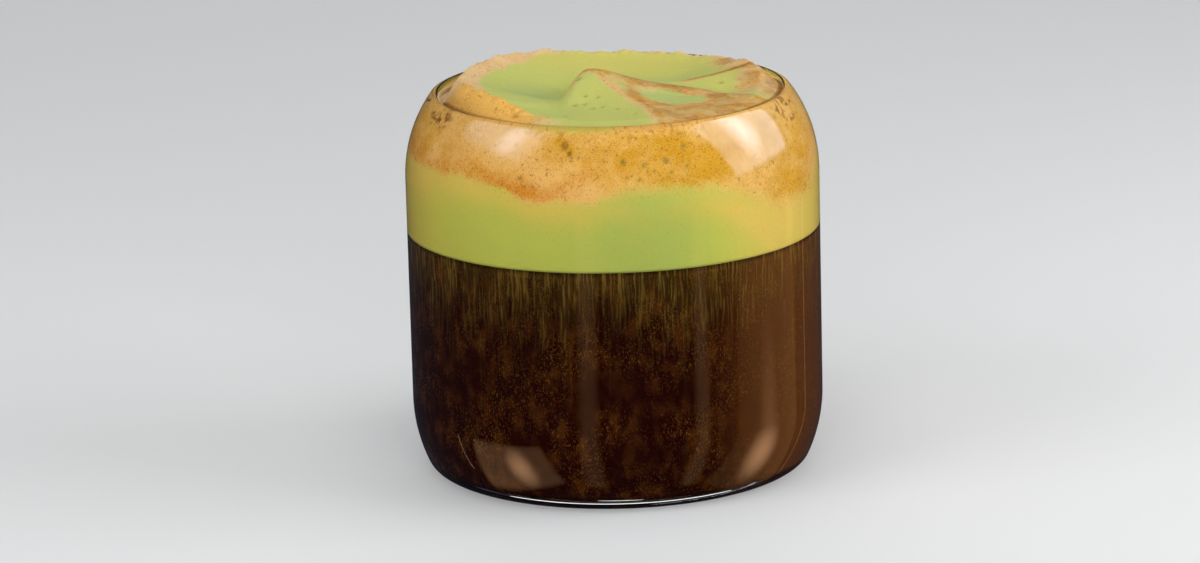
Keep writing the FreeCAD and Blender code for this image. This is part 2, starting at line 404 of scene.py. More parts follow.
print(len(PORES), "pores; lattice mean", round(float(LATTICE.mean()), 4))

# %% [markdown]
# ## Foam mesh
# One closed skin: a flat underside on the line, the side that follows the inside of the glass, and
# the head. For every direction round the glass the side ends where the foam lets go of the wall,
# so the rows of the grid rise and fall with the gap.

# %% Foam grid
TURNS, SIDE_ROWS, HEAD_ROWS = 576, 60, 100
CEILING = FOAM_TOP - 0.02  # just under the top of the CAD foam
inner_wall = np.concatenate([
    [[DRINK_R, LINE_Z]],
    arc(SHOULDER_CX, SHOULDER_Z, SHOULDER_R - WALL + REACH, 0, BEAD_TURN, 40),
    arc(BEAD_X, BEAD_Z, BEAD_R - REACH, BEAD_TURN + 180, 100, 24)[1:],
])
along = np.concatenate([[0], np.cumsum(np.hypot(*np.diff(inner_wall, axis=0).T))])
a = np.linspace(0, 2 * np.pi, TURNS, endpoint=False)
turn = bearing(np.cos(a), np.sin(a))
reach_up = np.interp(HEIGHT - gap(turn), inner_wall[:, 1], along)
side_s = np.linspace(0, 1, SIDE_ROWS)[:, None] * reach_up
side_r = np.interp(side_s, along, inner_wall[:, 0])
side_z = np.interp(side_s, along, inner_wall[:, 1])
head_r = np.linspace(1, 0, HEAD_ROWS + 1)[1:-1, None] * side_r[-1]
hx, hy = head_r * np.cos(a), head_r * np.sin(a)
head_z = np.minimum(HEIGHT + head(hx, hy) + relief(hx, hy), CEILING)
under_r = np.linspace(0, 1, 5)[1:-1, None] * side_r[0]
rows_r = np.concatenate([under_r, side_r, head_r])
rows_z = np.concatenate([np.full(under_r.shape, LINE_Z), side_z, head_z])
grid = np.stack([rows_r * np.cos(a), rows_r * np.sin(a), rows_z], axis=-1)
axis = np.zeros(1)
middle = min(HEIGHT + float((head(axis, axis) + relief(axis, axis))[0]), CEILING)
foam = skin("coconut_foam", grid, [0, 0, LINE_Z], [0, 0, middle])
print(f"foam top {head_z.max():.2f} mm, faces {len(foam.data.polygons)}")

# %% [markdown]
# ## Where the coffee has bled into the foam
# The marbling follows the form: stain lies along the folds, on the raised edge and in an uneven
# band round the shoulder. So it is worked out per point from the same lines, and kept on the mesh
# as plain masks that the material reads. Stain, toast and orange say how strongly the coffee
# shows, dark marks pores and voids, cool and warm shift the clean foam, and open_air is 1 where
# the surface isn't pressed flat against the glass. On the head, stain, toast and dark also hold
# painted shade: a brown line where the foam meets the glass, and a darker foot of the raised edge
# on the left.

# %% Tables for the side of the foam
# directions are in degrees from the front, + right; heights and radii are in mm
BAND_Z = 65.6   # lower edge of the stained band before its waves
BAND_R = 40.0   # radius at which bubbles are measured round the glass
# waves of that edge: direction, spread, height
EDGE_WAVES = [(-48, 12, 0.8), (-22, 9, -2.4), (-8, 8, -1.8), (12, 9, -0.2), (58, 20, -7.5),
              (75, 12, -2.0), (110, 24, 1.5), (150, 18, -2.5), (-100, 20, 1.0), (-140, 22, -2.0)]
# round patches of gold: direction, height, spread in degrees, spread in mm, strength
PATCHES = [(6, 71.5, 16, 5.5, 1.0), (20, 70.5, 14, 5.0, 0.9), (-16, 74.0, 5, 2.5, 0.7),
           (34, 69.0, 12, 5.0, 0.5), (-72, 71.5, 20, 5.0, 0.65), (-40, 67.2, 14, 1.6, 0.5),
           (60, 64.0, 13, 6.0, 0.95), (72, 70.0, 12, 5.0, 0.5), (98, 70.0, 14, 3.5, 0.7),
           (135, 72.0, 12, 3.0, 0.6), (-110, 71.0, 14, 3.5, 0.6), (-155, 70.5, 16, 3.0, 0.7)]
# bubbles held against the glass: direction, height, radius
BROWN_BUBBLES = [(-14.4, 73.8, 0.90), (-12.7, 72.4, 0.55), (-12.0, 71.6, 0.35), (-10.2, 71.8, 0.3),
                 (-27.2, 67.4, 0.35), (-25.8, 66.0, 0.32), (-23.0, 66.1, 0.3), (142.0, 72.0, 0.5),
                 (-137.0, 72.5, 0.6)]
GREEN_BUBBLES = [(3.1, 70.9, 0.55), (15.6, 70.7, 0.6), (9.0, 70.1, 0.38), (21.6, 72.9, 0.42),
                 (21.8, 69.4, 0.42), (12.0, 68.9, 0.32), (17.0, 68.4, 0.34), (4.0, 68.2, 0.3),
                 (7.6, 67.6, 0.28), (105.0, 71.0, 0.6), (118.0, 69.5, 0.4), (-120.0, 70.0, 0.5),
                 (-165.0, 71.0, 0.4), (168.0, 69.0, 0.45)]
print(len(PATCHES), "patches,", len(BROWN_BUBBLES) + len(GREEN_BUBBLES), "bubbles at the glass")


# %% Parts of the stained band
def apart(az, middle):
    """Smallest angle between directions, in degrees, with its sign."""
    return (az - middle + 180) % 360 - 180


def facing(az, middle, spread):
    """A bell over directions: 1 at the middle, fading over `spread` degrees to each side."""
    return hill(apart(az, middle), 0, spread)


def band_edge(az, z, x, y):
    """Lower edge of the stained band: its height plus a bell for each wave, frayed by noise."""
    edge = BAND_Z + sum(height * facing(az, m, w) for m, w, height in EDGE_WAVES)
    return edge + 0.6 * lattice_noise(x, y, z, 5.0) + 0.35 * lattice_noise(x, y, z, 1.7)


def lip_stain(az, z, edge, blotch):
    """Dark orange where the band ends sharply: bells across a line that climbs as the square of
    the angle at the front left, and along the band's own edge at the left and at the back."""
    rise = 64.9 + 0.0065 * apart(az, -22) ** 2 + 0.012 * np.maximum(apart(az, -22), 0) ** 2
    lip = np.clip(1.3 * facing(az, -27, 16), 0, 1) * hill(z, rise + 0.5 * blotch, 1.6)
    lip = np.maximum(lip, 0.6 * hill(z, edge + 1.4 + blotch, 2.0) * facing(az, -66, 26))
    lip = np.maximum(lip, 0.8 * hill(z, edge + 1.6, 1.2) * facing(az, 130, 30))
    return lip * (0.85 + 0.30 * blotch)


def discs(az, z, bubbles):
    """1 within about half of a bubble's radius, 0 beyond one and a quarter of it."""
    marks = 0 * z
    for middle, height, radius in bubbles:
        away = np.hypot(np.radians(apart(az, middle)) * BAND_R, z - height)
        marks = np.maximum(marks, ease(away, radius * 1.25, radius * 0.55))
    return marks


def scribbles(az, z, x, y):
    """Crooked voids under the rim at both ends of the front: noise where it is close to zero."""
    line = ease(np.abs(lattice_noise(x, y, z * 2.2 + 0.8 * x, 1.5)), 0.24, 0.08)
    places = (facing(az, 70, 9) * hill(z, 74.2, 2.4)
              + facing(az, -68, 8) * hill(z, 74.8, 1.8))
    return 0.85 * line * ease(places, 0.2, 0.6)


# %% Masks on the side
def side_masks(az, z, x, y):
    """Stain above a wavy edge; toast in patches; dark in the bubbles and voids; cool near the
    middle of the front; warm where the foam is golden; orange along the sharp edge."""
    edge = band_edge(az, z, x, y)
    sharp = facing(az, -29, 13) + 0.8 * facing(az, 130, 30)
    soft = 1.6 + 6.0 * facing(az, 62, 24) + 2.4 * facing(az, 12, 16) - 0.5 * sharp
    stain = ease(z, edge - soft, edge + soft)
    blotch = lattice_noise(x, y, 1.5 * z, 4.0) + 0.7 * lattice_noise(x, y, 1.5 * z, 1.6)
    toast = sum(strength * facing(az, m, w) * hill(z, c, t) for m, c, w, t, strength in PATCHES)
    toast = np.clip(toast, 0, 1) * (0.9 + 0.35 * blotch) * ease(z, 77.2, 75.6)
    toast = toast + 0.14 * np.clip(blotch, 0, 1)
    green = discs(az, z, GREEN_BUBBLES)
    dark = np.maximum(0.65 * discs(az, z, BROWN_BUBBLES), scribbles(az, z, x, y))
    # a row of fine dots close under the rim
    dots = ease(lattice_noise(x * 1.3, y * 1.3, z * 1.3, 1.1), 0.42, 0.62) * hill(z, 75.6, 1.1)
    dark = np.maximum(dark, 0.5 * dots * facing(az, 4, 34))
    cool = facing(az, 10, 17) * ease(z, 69, 62) + 0.35 * facing(az, -20, 30)
    warm = 0.9 * ease(apart(az, 0), 22, 60) + 0.75 * ease(apart(az, 0), -45, -85)
    warm = warm + 0.8 * hill(z, edge - soft, 3.0) * (1 - 0.75 * facing(az, 10, 16))
    pale = 0.6 * facing(az, -12, 20) * ease(z, 75.2, 76.4)
    stain = stain * (1 - np.maximum(0.8 * green, pale))
    return (stain, np.clip(toast, 0, 1), np.clip(np.maximum(dark, 0.7 * green), 0, 1), cool,
            np.clip(warm, 0, 1), np.clip(lip_stain(az, z, edge, blotch), 0, 1))


# %% Parts of the stain on the head
def corner_stain(x, y, ragged):
    """The stained corner lies to the right of the front fold and before the long one, round a
    clean pocket, which is an ellipse. Returned: the corner and the pocket, 0 to 1."""
    right_of = ease(x - np.interp(-y, -FRONT_LINE[:, 1], FRONT_LINE[:, 0]), -0.6, 1.2)
    before = ease(y - np.interp(x, LONG_LINE[:, 0], LONG_LINE[:, 1]), 0.6, -0.8)
    oval = np.hypot((x - 12.2) / 6.8, (y + 9.6 + 0.25 * (x - 12.2)) / 4.6)
    pocket = ease(oval + 0.18 * ragged, 1.25, 0.8)
    corner = right_of * before * (1 - pocket) * ease(x, 0, 5) * (0.82 + 0.25 * ragged)
    return corner, pocket


def edge_stain(r, turn, ragged):
    """Stain on the raised edge: it begins farther in at the left and at the right."""
    start = 29.6 - 4.6 * ease(turn, 98, 135) * ease(turn, 212, 196)
    start = start - 3.5 * ease(turn, 52, 30) * ease(turn, -14, 0)
    edge = ease(r + 0.8 * ragged, start - 0.8, start + 3.4)
    return np.maximum(edge, 0.75 * ease(r + 0.5 * ragged, 29.2, 30.4))


def head_dark_and_shade(x, y, r, turn, corner, lump):
    """Dark along the fold lines, streaked in the corner and on the lump, and in a bell round each
    pore;
    painted shade in the groove at the glass and at the foot of the raised edge on the left; darker
    on the outer flank at the right."""
    long_away, _ = near_line(x, y, LONG_LINE)
    right_away, _ = near_line(x, y, RIGHT_LINE)
    streak = lattice_noise(x * 0.6 + y * 0.3, y * 1.1 + 0.3 * x, 0 * x + 4, 2.2)
    streak = streak + 0.6 * lattice_noise(x * 0.7, y * 1.2, 0 * x + 6, 0.9)
    dark = 0.42 * hill(long_away, 0, 0.55) * ease(x, -1.0, 4.0) * ease(x, 31, 27)
    dark = dark + 0.34 * corner * ease(streak, -0.2, 0.7)
    dark = dark + 0.35 * hill(right_away, 0, 0.7) * ease(x, 13, 18)
    # painted shade: dark in the groove where the foam meets the glass, and at the foot of the
    # raised edge on the left
    dark = dark + 0.50 * ease(r, 33.7, 34.3) + 0.40 * ease(r, 31.0, 33.6) * hill(turn, 198, 24)
    dark = dark + 0.35 * ease(r, 30.6, 32.6) * hill(turn, 6, 20)
    dark = dark + 0.20 * lump * ease(streak, 0.0, 0.5)
    for px, py, radius, _ in PORES:
        away = (x - px) ** 2 + (y - py) ** 2
        dark = np.maximum(dark, 0.5 * np.exp(-away / (0.9 * radius) ** 2))
    return np.clip(dark, 0, 1)


# %% Masks on the head
def head_masks(x, y):
    """Stain on the raised edge, along the folds and over the front right; toast where it is
    brownest;
    dark in pores and folds; cool in the hollows; warm at the back; orange on the front left end of
    the raised edge. Stain, toast and dark also carry painted shade where the foam meets the glass."""
    r, turn = np.hypot(x, y), bearing(x, y)
    long_away, front_away, right_away, cap_away = (
        near_line(x, y, line)[0] for line in (LONG_LINE, FRONT_LINE, RIGHT_LINE, CAP_LINE))
    ragged = lattice_noise(x, y, 0 * x + 1, 3.0) + 0.5 * lattice_noise(x, y, 0 * x + 2, 1.3)
    corner, pocket = corner_stain(x, y, ragged)
    edge = edge_stain(r, turn, ragged)
    nose = ease(turn, 186, 206) * ease(turn, 250, 232) * ease(r + 0.3 * ragged, 28.8, 30.2)
    cap = hill(cap_away + 0.35 * ragged, 0, 2.2)
    between = ease(y + 0.15 * x, -12.0, -3.5) * ease(y, 0.4, -1.2)
    between = between * ease(x, -3.5, -1.0) * ease(x, 12.0, 6.0)
    ridge = hill(long_away, 0, 1.0)
    front = hill(front_away, 0, 1.5) * ease(y, -1.5, -4.0)
    brow = hill(right_away, 0, 1.25) * ease(x, 12, 17)
    lump = ease(r + 1.2 * ragged, 23.5, 27.5) * ease(turn, -28, -8) * ease(turn, 50, 34) * 0.85
    # painted shade: a brown line where the foam meets the glass, put into stain and toast
    rim_shade_line = ease(r, 33.7, 34.4)
    stain = np.max(np.stack([
        edge * raised(turn), nose, 0.9 * cap, 0.6 * between, 0.8 * ridge * ease(x, 30, 26),
        0.8 * front, corner, brow, 0.9 * lump, 0.75 * rim_shade_line]), axis=0)
    toast = nose + 0.75 * cap + 0.8 * corner + 0.9 * brow + 0.6 * lump * (0.6 + 0.6 * ragged)
    toast = np.clip(toast + 0.5 * rim_shade_line + 0.3 * front, 0, 1)
    cool = 0.9 * hill(x, -14, 9) * hill(y, -2, 8) + 0.7 * pocket
    cool = cool + 0.6 * hill(x, 10, 9) * hill(y, 13, 5)
    cool = cool + 0.25 * hill(x, -14, 12) * hill(y, -22, 8)
    warm = 0.75 * ease(y, 12, 24) + 0.35 * hill(turn, 0, 30)
    warm = warm + 0.3 * hill(np.hypot(x + 3, y + 9), 0, 6)
    dark = head_dark_and_shade(x, y, r, turn, corner, lump)
    return stain, toast, dark, cool, np.clip(warm, 0, 1), nose


# %% Put the masks on the foam
points = np.empty(len(foam.data.vertices) * 3, dtype=np.float32)
foam.data.vertices.foreach_get("co", points)
x, y, z = points.reshape(-1, 3).T / MM
row = np.arange(len(x)) // TURNS
on_head = (row >= len(under_r) + SIDE_ROWS)
on_head[-2:] = (False, True)  # the two points on the axis, under and on top
below = side_masks(apart(bearing(x, y), 270), z, x, y)
above = head_masks(x, y)
# the outer flank of the raised edge runs down to the glass and is stained all over
flank = ease(np.hypot(x, y), CREST_R - 0.2, CREST_R + 1.6) * raised(bearing(x, y))
above = (np.maximum(above[0], flank), *above[1:])
MASKS = ("stain", "toast", "dark", "cool", "warm", "orange")
for name, low_mask, high_mask in zip(MASKS, below, above):
    mask = np.where(on_head, high_mask, low_mask).astype(np.float32)
    foam.data.attributes.new(name, "FLOAT", "POINT").data.foreach_set("value", mask)
    print(name, "mean", round(float(mask.mean()), 3))
open_air = np.where(on_head, 1.0, 0.0).astype(np.float32)
foam.data.attributes.new("open_air", "FLOAT", "POINT").data.foreach_set("value", open_air)

# %% [markdown]
# ## Node helpers
# Materials are node trees. A short helper adds a node, sets its options and joins its inputs,
# so that each material reads as a list of steps.

# %% Helpers for nodes and colours
def shade(r, g, b):
    """A colour as it looks on screen, 0 to 255, turned into the linear values that shaders use."""
    c = np.array([r, g, b]) / 255.0
    c = np.where(c <= 0.04045, c / 12.92, ((c + 0.055) / 1.055) ** 2.4)
    return (*[float(v) for v in c], 1.0)


def add(tree, kind, options=None, **inputs):
    """One node: options are its properties; inputs are values or other nodes' outputs, by name
    with _ for a space, or i0, i1... by number."""
    node = tree.nodes.new(kind)
    for key, value in (options or {}).items():
        setattr(node, key, value)
    for key, value in inputs.items():
        if key[0] == "i" and key[1:].isdigit():
            socket = node.inputs[int(key[1:])]
        else:
            socket = node.inputs[key.replace("_", " ")]
        if isinstance(value, bpy.types.NodeSocket):
            tree.links.new(value, socket)
        else:
            socket.default_value = value
    return node


def blend(tree, factor, one, two):
    """Colour one where factor is 0 and colour two where it is 1."""
    node = add(tree, "ShaderNodeMix", {"data_type": "RGBA"}, i0=factor, i6=one, i7=two)
    return node.outputs[2]


def maths(tree, operation, *values, clamp=False):
    """One Math node on values or outputs; MULTIPLY_ADD is first times second plus third."""
    node = add(tree, "ShaderNodeMath", {"operation": operation, "use_clamp": clamp},
               **{f"i{k}": v for k, v in enumerate(values)})
    return node.outputs[0]


def noise(tree, vector, scale, detail, **more):
    """Fractal noise from 0 to 1 with `scale` features to the metre."""
    return add(tree, "ShaderNodeTexNoise", Vector=vector, Scale=scale, Detail=detail,
               **more).outputs[0]


def s_curve(tree, value, low, high, **more):
    """0 at low and before, 1 at high and beyond, and the S curve 3 t^2 - 2 t^3 between."""
    return add(tree, "ShaderNodeMapRange", {"interpolation_type": "SMOOTHSTEP"}, Value=value,
               From_Min=low, From_Max=high, **more).outputs[0]


def new_material(name):
    """A material with an empty node tree, and that tree."""
    material = bpy.data.materials.new(name)
    material.use_nodes = True
    tree = material.node_tree
    tree.nodes.clear()
    return material, tree


print("mid grey on screen is", round(shade(128, 128, 128)[0], 3), "in the shaders")

# %% [markdown]
# ## A shared effect: grain
# Foam and coffee both carry fine specks: bubbles in one, drops of milk in the other. One node
# group makes them: fractal noise cut at a level with a soft edge. It puts out a mask only.

# %% Grain group
grain = bpy.data.node_groups.new("grain", "ShaderNodeTree")
grain.interface.new_socket("Vector", in_out="INPUT", socket_type="NodeSocketVector")
for label in ("Scale", "Detail", "Level", "Softness"):
    grain.interface.new_socket(label, in_out="INPUT", socket_type="NodeSocketFloat")
grain.interface.new_socket("Mask", in_out="OUTPUT", socket_type="NodeSocketFloat")
g_in = grain.nodes.new("NodeGroupInput")
g_out = grain.nodes.new("NodeGroupOutput")
g_noise = noise(grain, g_in.outputs["Vector"], g_in.outputs["Scale"], g_in.outputs["Detail"])
low_cut = maths(grain, "SUBTRACT", g_in.outputs["Level"], g_in.outputs["Softness"])
high_cut = maths(grain, "ADD", g_in.outputs["Level"], g_in.outputs["Softness"])
grain.links.new(s_curve(grain, g_noise, low_cut, high_cut), g_out.inputs["Mask"])


def speckle(tree, vector, scale, detail, level, softness):
    """The grain group placed in a material with its own values."""
    node = add(tree, "ShaderNodeGroup", {"node_tree": grain}, Vector=vector, Scale=scale,
               Detail=detail, Level=level, Softness=softness)
    return node.outputs["Mask"]


print("grain group has", len(grain.nodes), "nodes")

# %% [markdown]
# ## Foam finish
# Clean foam is a pale yellow-green, cooler in the hollows. Stained foam runs from peach to orange
# and is peppered with fine brown bubbles. The masks say where; noise at a millimetre and below
# frays their edges, so that nothing looks airbrushed.

# %% Clean foam
foam_material, t = new_material("coconut_foam")
where = add(t, "ShaderNodeTexCoord").outputs["Object"]
stain, toast, dark, cool, warm, orange, open_air = (
    add(t, "ShaderNodeAttribute", {"attribute_name": name}).outputs["Fac"]
    for name in (*MASKS, "open_air"))
fray = maths(t, "MULTIPLY_ADD", noise(t, where, 900.0, 4.0), 1.4, -0.7)
cloud = maths(t, "MULTIPLY_ADD", noise(t, where, 190.0, 3.0), 2.0, -1.0)
faint = maths(t, "MULTIPLY", cloud, 0.25)
cooler = maths(t, "ADD", cool, faint, clamp=True)
warmer = maths(t, "ADD", warm, faint, clamp=True)
at_glass = blend(t, cooler, shade(188, 190, 82), shade(170, 184, 88))
at_glass = blend(t, warmer, at_glass, shade(212, 186, 88))
in_air = blend(t, cooler, shade(204, 208, 112), shade(182, 202, 124))
in_air = blend(t, warmer, in_air, shade(218, 208, 112))
clean = blend(t, open_air, at_glass, in_air)
print("clean foam so far:", len(t.nodes), "nodes")

# %% Stained foam: peach, then gold where it is toasted, then orange on the lip
toast_mix = maths(t, "ADD", maths(t, "ADD", toast, maths(t, "MULTIPLY", cloud, 0.5)),
                  maths(t, "MULTIPLY", fray, 0.6), clamp=True)
peach = blend(t, open_air, shade(226, 180, 104), shade(240, 202, 146))
gold = blend(t, open_air, shade(204, 153, 36), shade(216, 156, 64))
bled = blend(t, toast_mix, peach, gold)
frayed_orange = maths(t, "MULTIPLY", maths(t, "MULTIPLY", fray, orange), 1.2)
orange_mix = maths(t, "ADD", orange, frayed_orange, clamp=True)
lip_orange = blend(t, open_air, shade(208, 138, 40), shade(246, 190, 96))
bled = blend(t, orange_mix, bled, lip_orange)
# in the air the stain's edge is frayed more than behind the glass
edge_fray = maths(t, "MULTIPLY", fray, maths(t, "MULTIPLY_ADD", open_air, 0.45, 0.35))
edge_mix = s_curve(t, maths(t, "ADD", stain, edge_fray), 0.1, 0.9)
colour = blend(t, edge_mix, clean, bled)
print("with the stain:", len(t.nodes), "nodes")

# %% Fine specks, pits, dark pores and painted shade
specks = speckle(t, where, 3200.0, 2.0, 0.58, 0.07)
on_stain = maths(t, "MULTIPLY", edge_mix, maths(t, "MULTIPLY_ADD", toast, 0.36, 0.22))
speck_amount = maths(t, "ADD", 0.10, on_stain)
less_in_air = maths(t, "MULTIPLY_ADD", open_air, -0.45, 0.85)
uneven = maths(t, "MULTIPLY_ADD", cloud, 0.9, less_in_air, clamp=True)
speck_amount = maths(t, "MULTIPLY", speck_amount, uneven)
on_lip = maths(t, "MULTIPLY", orange, maths(t, "SUBTRACT", 1.0, open_air))
speck_amount = maths(t, "MULTIPLY_ADD", on_lip, 0.45, speck_amount)
colour = blend(t, maths(t, "MULTIPLY", specks, speck_amount), colour, shade(158, 98, 22))
pits = speckle(t, where, 1300.0, 1.0, 0.69, 0.04)
pit_mix = maths(t, "MULTIPLY", pits, maths(t, "MULTIPLY_ADD", edge_mix, 0.42, 0.08))
colour = blend(t, pit_mix, colour, shade(138, 84, 26))
# dark holds pores and fold lines, and on the head painted shade where the foam meets the glass
dark_and_shade_mix = maths(t, "MULTIPLY", dark, maths(t, "MULTIPLY_ADD", fray, 0.5, 1.0), clamp=True)
colour = blend(t, dark_and_shade_mix, colour, shade(112, 66, 18))
print("with specks and pores:", len(t.nodes), "nodes")

# %% Froth and surface of the foam
froth = add(t, "ShaderNodeTexVoronoi", {"feature": "F1"}, Vector=where,
            Scale=2300.0).outputs["Distance"]
froth_height = maths(t, "MULTIPLY", maths(t, "ADD", froth, maths(t, "MULTIPLY", fray, 0.4)),
                     open_air)
bump = add(t, "ShaderNodeBump", Strength=0.35, Distance=0.0002, Height=froth_height).outputs[0]
foam_bsdf = add(t, "ShaderNodeBsdfPrincipled", Base_Color=colour, Roughness=0.5, Normal=bump,
                IOR=1.4, Specular_IOR_Level=0.2, Subsurface_Weight=0.15, Subsurface_Scale=0.001)
foam_bsdf.inputs["Subsurface Radius"].default_value = (1.0, 0.8, 0.5)
add(t, "ShaderNodeOutputMaterial", Surface=foam_bsdf.outputs[0])
print(foam_material.name, "has", len(t.nodes), "nodes")

# %% [markdown]
# ## Coffee finish
# Just under the foam, milk sinks into the coffee in fine hanging threads. Farther down they break
# into grains. Threads are noise that is squeezed sideways and stretched upright; they fade with
# depth, and grains take over.

# %% Threads of milk
coffee_material, t = new_material("coffee")
where = add(t, "ShaderNodeTexCoord").outputs["Object"]
place = add(t, "ShaderNodeSeparateXYZ", Vector=where)
depth, across = place.outputs["Z"], place.outputs["X"]
sway = add(t, "ShaderNodeTexNoise", Vector=where, Scale=110.0, Detail=3.0).outputs["Color"]
sway = add(t, "ShaderNodeVectorMath", {"operation": "SCALE"}, i0=sway, Scale=0.0016).outputs[0]
swayed = add(t, "ShaderNodeVectorMath", {"operation": "ADD"}, i0=where, i1=sway).outputs[0]
hanging = add(t, "ShaderNodeMapping", Vector=swayed, Scale=(1.0, 1.0, 0.05)).outputs[0]
threads = s_curve(t, noise(t, hanging, 2300.0, 2.0, Roughness=0.6), 0.46, 0.72)
drift = noise(t, hanging, 420.0, 3.0)
level = maths(t, "ADD", depth, maths(t, "MULTIPLY_ADD", drift, 0.030, -0.015))
fade = s_curve(t, level, 0.034, 0.0495)
tails = s_curve(t, level, 0.022, 0.050)
print("threads so far:", len(t.nodes), "nodes")

# %% Murk and grains
wispy = add(t, "ShaderNodeMapping", Vector=swayed, Scale=(1.0, 1.0, 0.6)).outputs[0]
murk = speckle(t, wispy, 420.0, 9.0, 0.56, 0.14)
grains = speckle(t, wispy, 3300.0, 3.0, 0.60, 0.08)
flock = noise(t, where, 110.0, 4.0)
flock = add(t, "ShaderNodeMapRange", Value=flock, From_Min=0.38, From_Max=0.64,
            To_Min=0.05).outputs[0]
# painted light: the right side of the coffee, where the right lamp falls, is painted paler and
# browner, with more grains
painted_right_light = s_curve(t, across, 0.014, 0.037)
murk_mix = maths(t, "MULTIPLY", murk, maths(t, "MULTIPLY_ADD", flock, 0.7, 0.3), clamp=True)
grain_mix = maths(t, "MULTIPLY", grains, maths(t, "MULTIPLY_ADD", painted_right_light, 0.25, flock), clamp=True)
body = blend(t, fade, shade(31, 2, 0), shade(50, 33, 7))
body = blend(t, maths(t, "MULTIPLY", painted_right_light, 0.7), body, shade(100, 56, 20))
body = blend(t, maths(t, "MULTIPLY", murk_mix, 0.75), body, shade(78, 42, 8))
body = blend(t, maths(t, "MULTIPLY", grain_mix, 0.5), body, shade(126, 82, 24))
print("with murk and grains:", len(t.nodes), "nodes")

# %% Threads over the coffee, and its surface
# a row of dark notches lies where the threads leave the foam
notch = maths(t, "MULTIPLY", s_curve(t, depth, 0.0482, 0.0493),
              maths(t, "SUBTRACT", 1.0, threads))
thread_amount = maths(t, "MULTIPLY_ADD", tails, 0.28, maths(t, "MULTIPLY", fade, 0.42))
body = blend(t, maths(t, "MULTIPLY", threads, thread_amount), body, shade(122, 98, 38))
body = blend(t, maths(t, "MULTIPLY", notch, 0.75), body, shade(26, 14, 2))
coffee_bsdf = add(t, "ShaderNodeBsdfPrincipled", Base_Color=body, Roughness=0.6,
                  Specular_IOR_Level=0.0)
add(t, "ShaderNodeOutputMaterial", Surface=coffee_bsdf.outputs[0])
print(coffee_material.name, "has", len(t.nodes), "nodes")

# %% [markdown]
# ## Glass finish
# Clear glass is a transmitting Principled shader with the index of borosilicate. Lamps are let
# straight through with a Transparent shader on shadow rays, because the drink behind the wall has
# to be lit, and a path tracer would take very long to find lamps through glass.

# %% Glass material
glass_material, t = new_material("clear_glass")
glass_bsdf = add(t, "ShaderNodeBsdfPrincipled", Base_Color=(0.985, 0.995, 0.99, 1.0),
                 Roughness=0.0, IOR=1.47, Transmission_Weight=1.0)
let_through = add(t, "ShaderNodeBsdfTransparent")
is_shadow = add(t, "ShaderNodeLightPath").outputs["Is Shadow Ray"]
mixed = add(t, "ShaderNodeMixShader", i0=is_shadow, i1=glass_bsdf.outputs[0],
            i2=let_through.outputs[0])
add(t, "ShaderNodeOutputMaterial", Surface=mixed.outputs[0])
print(glass_material.name, "has", len(t.nodes), "nodes")

# %% [markdown]
# ## Each piece takes its place
# Every piece gets its finish, moves with the one body of the drink, and stands in for the CAD
# solid of the same name, which is hidden then.

# %% Finish, ride and replace
for piece, material, node in ((glass, glass_material, "glass"),
                              (coffee, coffee_material, "coffee"),
                              (foam, foam_material, "foam")):
    piece.data.materials.append(material)
    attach(piece, "root")
    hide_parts(node)
    print(piece.name, "replaces", node)

# %% [markdown]
# ## Studio
# The drink stands on a plain pale floor in soft light from five lamps, in a room with dark walls.
# Glass mirrors whatever is in front of it, and a pale floor would veil the dark coffee with grey,
# so mirror rays pass through the floor and meet the dark of the room, as they would over a black
# flag. The cards are seen by reflections alone: they give the glass its window-like highlights,
# brighter in the middle as lamp cloth is, and the faint streaks and the bright line at the heel.

# %% Floor
FLOOR_HALF = 4.0      # metres from the middle to each side
FLOOR_DROP = 0.0002   # keeps the floor clear of the underside of the glass
floor_mesh = bpy.data.meshes.new("floor")
corners = [(x * FLOOR_HALF, y * FLOOR_HALF, 0) for x, y in ((-1, -1), (1, -1), (1, 1), (-1, 1))]
floor_mesh.from_pydata(corners, [], [(0, 1, 2, 3)])
floor = bpy.data.objects.new("floor", floor_mesh)
bpy.context.scene.collection.objects.link(floor)
floor_material, t = new_material("floor")
floor_bsdf = add(t, "ShaderNodeBsdfPrincipled", Base_Color=shade(244, 245, 246), Roughness=0.8,
                 Specular_IOR_Level=0.1)
# some of the cards lie below the floor, where a polished table would mirror them, and the floor
# lets mirror rays through to them
floor_open = add(t, "ShaderNodeBsdfTransparent").outputs[0]
floor_path = add(t, "ShaderNodeLightPath").outputs["Is Glossy Ray"]
floor_mix = add(t, "ShaderNodeMixShader", i0=floor_path, i1=floor_bsdf.outputs[0], i2=floor_open)
add(t, "ShaderNodeOutputMaterial", Surface=floor_mix.outputs[0])
floor_mesh.materials.append(floor_material)
floor.location.z = -FLOOR_DROP
print("floor is", 2 * FLOOR_HALF, "m wide")

# %% Room
ROOM_TONE = shade(42, 47, 56)            # the dark walls, as the glass shows them
ROOM_GLOW = (0.19, 0.19, 0.19, 1.0)      # what they add to the light on matt surfaces
world = bpy.data.worlds.new("studio")
world.use_nodes = True
t = world.node_tree
t.nodes.clear()
path = add(t, "ShaderNodeLightPath")
seen = maths(t, "MAXIMUM", path.outputs["Is Camera Ray"], path.outputs["Is Glossy Ray"])
seen = maths(t, "MAXIMUM", seen, path.outputs["Is Transmission Ray"])
sky = add(t, "ShaderNodeBackground", Color=blend(t, seen, ROOM_GLOW, ROOM_TONE))
add(t, "ShaderNodeOutputWorld", Surface=sky.outputs[0])
bpy.context.scene.world = world
print("room tone", [round(v, 3) for v in ROOM_TONE[:3]])


# %% How a lamp and a card are made
AIM_AT = Vector((0, 0, 0.05))  # lamps and cards face this place in the drink


